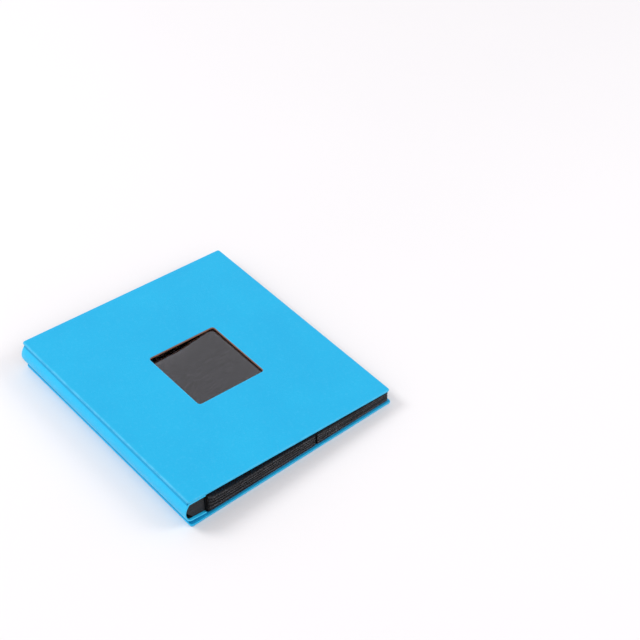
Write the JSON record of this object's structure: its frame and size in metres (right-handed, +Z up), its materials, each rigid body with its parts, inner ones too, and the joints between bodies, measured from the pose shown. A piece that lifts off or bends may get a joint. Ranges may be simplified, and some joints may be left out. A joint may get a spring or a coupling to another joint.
{
  "type": "slip-in scrapbook album",
  "caption": "Square-ish hard-cover slip-in scrapbook album with black pocket leaves, a rounded spine and a recessed photo window in its front cover.",
  "frame": {"origin": "bottom centre of the closed album's box, on the face it lies on", "axes": "+X from the spine to the fore-edge, +Y from the tail to the head, +Z up through the closed book"},
  "size_m": [0.305, 0.3366, 0.0396],
  "materials": {
    "cover_skin": "sky-blue leatherette, very fine grain, satin",
    "cover_lining": "blue coated lining sheet, satin",
    "board": "raw binder's board, red-brown cut edge",
    "strips": "black spacer card, matte cut edges",
    "glue": "black binding glue, satin",
    "hinge_cloth": "blue bookcloth, fine weave",
    "leaf_film": "black card core in clear film pockets, satin gloss",
    "window_film": "clear glossy film",
    "pocket": "black pocket film, satin",
    "card": "dark grey card, smooth"
  },
  "bodies": {
    "book_block": {"spine_wrap": "cover_skin", "spine_board": "strips", "spine_glue": "glue", "binding_strips": "strips", "front_hinge_cloth": "hinge_cloth", "back_hinge_cloth": "hinge_cloth"},
    "front_cover": {"front_wrap": "cover_skin", "front_board": "board", "front_liner": "cover_lining", "window_film": "window_film", "window_pocket": "pocket"},
    "window_card": {"window_card": "card"},
    "back_cover": {"back_wrap": "cover_skin", "back_board": "board", "back_liner": "cover_lining"},
    "leaf_01": {"leaf_01": "leaf_film"},
    "leaf_02": {"leaf_02": "leaf_film"},
    "leaf_03": {"leaf_03": "leaf_film"},
    "leaf_04": {"leaf_04": "leaf_film"},
    "leaf_05": {"leaf_05": "leaf_film"},
    "leaf_06": {"leaf_06": "leaf_film"},
    "leaf_07": {"leaf_07": "leaf_film"},
    "leaf_08": {"leaf_08": "leaf_film"},
    "leaf_09": {"leaf_09": "leaf_film"},
    "leaf_10": {"leaf_10": "leaf_film"},
    "leaf_11": {"leaf_11": "leaf_film"},
    "leaf_12": {"leaf_12": "leaf_film"},
    "leaf_13": {"leaf_13": "leaf_film"},
    "leaf_14": {"leaf_14": "leaf_film"},
    "leaf_15": {"leaf_15": "leaf_film"},
    "leaf_16": {"leaf_16": "leaf_film"},
    "leaf_17": {"leaf_17": "leaf_film"},
    "leaf_18": {"leaf_18": "leaf_film"},
    "leaf_19": {"leaf_19": "leaf_film"},
    "leaf_20": {"leaf_20": "leaf_film"},
    "leaf_21": {"leaf_21": "leaf_film"},
    "leaf_22": {"leaf_22": "leaf_film"},
    "leaf_23": {"leaf_23": "leaf_film"},
    "leaf_24": {"leaf_24": "leaf_film"},
    "leaf_25": {"leaf_25": "leaf_film"},
    "leaf_26": {"leaf_26": "leaf_film"},
    "leaf_27": {"leaf_27": "leaf_film"},
    "leaf_28": {"leaf_28": "leaf_film"},
    "leaf_29": {"leaf_29": "leaf_film"},
    "leaf_30": {"leaf_30": "leaf_film"}
  },
  "joints": [
    {"name": "front_cover_hinge", "type": "hinge", "parent": "book_block", "child": "front_cover", "pos_m": [-0.15, 0.00135, 0.03795], "axis": [0, -1, 0], "range_deg": [0, 188]},
    {"name": "back_cover_hinge", "type": "hinge", "parent": "book_block", "child": "back_cover", "pos_m": [-0.15, -0.00135, 0.00165], "axis": [0, 1, 0], "range_deg": [0, 180]},
    {"name": "window_card_slide", "type": "slide", "parent": "front_cover", "child": "window_card", "axis": [0, 1, 0], "range_m": [0, 0.118]},
    {"name": "leaf_01_crease", "type": "hinge", "parent": "book_block", "child": "leaf_01", "pos_m": [-0.1225, 0.00035, 0.03205], "axis": [0, -1, 0], "range_deg": [0, 96.01]},
    {"name": "leaf_02_crease", "type": "hinge", "parent": "book_block", "child": "leaf_02", "pos_m": [-0.1225, 0.00035, 0.03115], "axis": [0, -1, 0], "range_deg": [0, 92.81]},
    {"name": "leaf_03_crease", "type": "hinge", "parent": "book_block", "child": "leaf_03", "pos_m": [-0.1225, 0.00035, 0.03026], "axis": [0, -1, 0], "range_deg": [0, 89.61]},
    {"name": "leaf_04_crease", "type": "hinge", "parent": "book_block", "child": "leaf_04", "pos_m": [-0.1225, 0.00035, 0.02936], "axis": [0, -1, 0], "range_deg": [0, 86.41]},
    {"name": "leaf_05_crease", "type": "hinge", "parent": "book_block", "child": "leaf_05", "pos_m": [-0.1225, 0.00035, 0.02846], "axis": [0, -1, 0], "range_deg": [0, 83.21]},
    {"name": "leaf_06_crease", "type": "hinge", "parent": "book_block", "child": "leaf_06", "pos_m": [-0.1225, 0.00035, 0.02756], "axis": [0, -1, 0], "range_deg": [0, 80.01]},
    {"name": "leaf_07_crease", "type": "hinge", "parent": "book_block", "child": "leaf_07", "pos_m": [-0.1225, 0.00035, 0.02667], "axis": [0, -1, 0], "range_deg": [0, 76.81]},
    {"name": "leaf_08_crease", "type": "hinge", "parent": "book_block", "child": "leaf_08", "pos_m": [-0.1225, 0.00035, 0.02577], "axis": [0, -1, 0], "range_deg": [0, 73.61]},
    {"name": "leaf_09_crease", "type": "hinge", "parent": "book_block", "child": "leaf_09", "pos_m": [-0.1225, 0.00035, 0.02488], "axis": [0, -1, 0], "range_deg": [0, 70.42]},
    {"name": "leaf_10_crease", "type": "hinge", "parent": "book_block", "child": "leaf_10", "pos_m": [-0.1225, 0.00035, 0.02398], "axis": [0, -1, 0], "range_deg": [0, 67.21]},
    {"name": "leaf_11_crease", "type": "hinge", "parent": "book_block", "child": "leaf_11", "pos_m": [-0.1225, 0.00035, 0.02308], "axis": [0, -1, 0], "range_deg": [0, 64.01]},
    {"name": "leaf_12_crease", "type": "hinge", "parent": "book_block", "child": "leaf_12", "pos_m": [-0.1225, 0.00035, 0.02219], "axis": [0, -1, 0], "range_deg": [0, 60.81]},
    {"name": "leaf_13_crease", "type": "hinge", "parent": "book_block", "child": "leaf_13", "pos_m": [-0.1225, 0.00035, 0.02129], "axis": [0, -1, 0], "range_deg": [0, 57.61]},
    {"name": "leaf_14_crease", "type": "hinge", "parent": "book_block", "child": "leaf_14", "pos_m": [-0.1225, 0.00035, 0.02039], "axis": [0, -1, 0], "range_deg": [0, 54.41]},
    {"name": "leaf_15_crease", "type": "hinge", "parent": "book_block", "child": "leaf_15", "pos_m": [-0.1225, 0.00035, 0.0195], "axis": [0, -1, 0], "range_deg": [0, 51.21]},
    {"name": "leaf_16_crease", "type": "hinge", "parent": "book_block", "child": "leaf_16", "pos_m": [-0.1225, 0.00035, 0.0186], "axis": [0, -1, 0], "range_deg": [0, 48.01]},
    {"name": "leaf_17_crease", "type": "hinge", "parent": "book_block", "child": "leaf_17", "pos_m": [-0.1225, 0.00035, 0.0177], "axis": [0, -1, 0], "range_deg": [0, 44.81]},
    {"name": "leaf_18_crease", "type": "hinge", "parent": "book_block", "child": "leaf_18", "pos_m": [-0.1225, 0.00035, 0.01681], "axis": [0, -1, 0], "range_deg": [0, 41.61]},
    {"name": "leaf_19_crease", "type": "hinge", "parent": "book_block", "child": "leaf_19", "pos_m": [-0.1225, 0.00035, 0.01591], "axis": [0, -1, 0], "range_deg": [0, 38.41]},
    {"name": "leaf_20_crease", "type": "hinge", "parent": "book_block", "child": "leaf_20", "pos_m": [-0.1225, 0.00035, 0.01501], "axis": [0, -1, 0], "range_deg": [0, 35.22]},
    {"name": "leaf_21_crease", "type": "hinge", "parent": "book_block", "child": "leaf_21", "pos_m": [-0.1225, 0.00035, 0.01412], "axis": [0, -1, 0], "range_deg": [0, 32.01]},
    {"name": "leaf_22_crease", "type": "hinge", "parent": "book_block", "child": "leaf_22", "pos_m": [-0.1225, 0.00035, 0.01322], "axis": [0, -1, 0], "range_deg": [0, 28.81]},
    {"name": "leaf_23_crease", "type": "hinge", "parent": "book_block", "child": "leaf_23", "pos_m": [-0.1225, 0.00035, 0.01232], "axis": [0, -1, 0], "range_deg": [0, 25.61]},
    {"name": "leaf_24_crease", "type": "hinge", "parent": "book_block", "child": "leaf_24", "pos_m": [-0.1225, 0.00035, 0.01143], "axis": [0, -1, 0], "range_deg": [0, 22.41]},
    {"name": "leaf_25_crease", "type": "hinge", "parent": "book_block", "child": "leaf_25", "pos_m": [-0.1225, 0.00035, 0.01053], "axis": [0, -1, 0], "range_deg": [0, 19.21]},
    {"name": "leaf_26_crease", "type": "hinge", "parent": "book_block", "child": "leaf_26", "pos_m": [-0.1225, 0.00035, 0.00963], "axis": [0, -1, 0], "range_deg": [0, 16.01]},
    {"name": "leaf_27_crease", "type": "hinge", "parent": "book_block", "child": "leaf_27", "pos_m": [-0.1225, 0.00035, 0.00874], "axis": [0, -1, 0], "range_deg": [0, 12.81]},
    {"name": "leaf_28_crease", "type": "hinge", "parent": "book_block", "child": "leaf_28", "pos_m": [-0.1225, 0.00035, 0.00784], "axis": [0, -1, 0], "range_deg": [0, 9.61]},
    {"name": "leaf_29_crease", "type": "hinge", "parent": "book_block", "child": "leaf_29", "pos_m": [-0.1225, 0.00035, 0.00694], "axis": [0, -1, 0], "range_deg": [0, 6.41]},
    {"name": "leaf_30_crease", "type": "hinge", "parent": "book_block", "child": "leaf_30", "pos_m": [-0.1225, 0.00035, 0.00605], "axis": [0, -1, 0], "range_deg": [0, 3.21]}
  ],
  "couplings": [
    {"joint": "leaf_01_crease", "follows": "front_cover_hinge", "ratio": 0.51064},
    {"joint": "leaf_02_crease", "follows": "front_cover_hinge", "ratio": 0.49362},
    {"joint": "leaf_03_crease", "follows": "front_cover_hinge", "ratio": 0.4766},
    {"joint": "leaf_04_crease", "follows": "front_cover_hinge", "ratio": 0.45957},
    {"joint": "leaf_05_crease", "follows": "front_cover_hinge", "ratio": 0.44255},
    {"joint": "leaf_06_crease", "follows": "front_cover_hinge", "ratio": 0.42553},
    {"joint": "leaf_07_crease", "follows": "front_cover_hinge", "ratio": 0.40851},
    {"joint": "leaf_08_crease", "follows": "front_cover_hinge", "ratio": 0.39149},
    {"joint": "leaf_09_crease", "follows": "front_cover_hinge", "ratio": 0.37447},
    {"joint": "leaf_10_crease", "follows": "front_cover_hinge", "ratio": 0.35745},
    {"joint": "leaf_11_crease", "follows": "front_cover_hinge", "ratio": 0.34043},
    {"joint": "leaf_12_crease", "follows": "front_cover_hinge", "ratio": 0.3234},
    {"joint": "leaf_13_crease", "follows": "front_cover_hinge", "ratio": 0.30638},
    {"joint": "leaf_14_crease", "follows": "front_cover_hinge", "ratio": 0.28936},
    {"joint": "leaf_15_crease", "follows": "front_cover_hinge", "ratio": 0.27234},
    {"joint": "leaf_16_crease", "follows": "front_cover_hinge", "ratio": 0.25532},
    {"joint": "leaf_17_crease", "follows": "front_cover_hinge", "ratio": 0.2383},
    {"joint": "leaf_18_crease", "follows": "front_cover_hinge", "ratio": 0.22128},
    {"joint": "leaf_19_crease", "follows": "front_cover_hinge", "ratio": 0.20425},
    {"joint": "leaf_20_crease", "follows": "front_cover_hinge", "ratio": 0.18723},
    {"joint": "leaf_21_crease", "follows": "front_cover_hinge", "ratio": 0.17021},
    {"joint": "leaf_22_crease", "follows": "front_cover_hinge", "ratio": 0.15319},
    {"joint": "leaf_23_crease", "follows": "front_cover_hinge", "ratio": 0.13617},
    {"joint": "leaf_24_crease", "follows": "front_cover_hinge", "ratio": 0.11915},
    {"joint": "leaf_25_crease", "follows": "front_cover_hinge", "ratio": 0.10213},
    {"joint": "leaf_26_crease", "follows": "front_cover_hinge", "ratio": 0.085106},
    {"joint": "leaf_27_crease", "follows": "front_cover_hinge", "ratio": 0.068085},
    {"joint": "leaf_28_crease", "follows": "front_cover_hinge", "ratio": 0.051064},
    {"joint": "leaf_29_crease", "follows": "front_cover_hinge", "ratio": 0.034043},
    {"joint": "leaf_30_crease", "follows": "front_cover_hinge", "ratio": 0.017021}
  ]
}
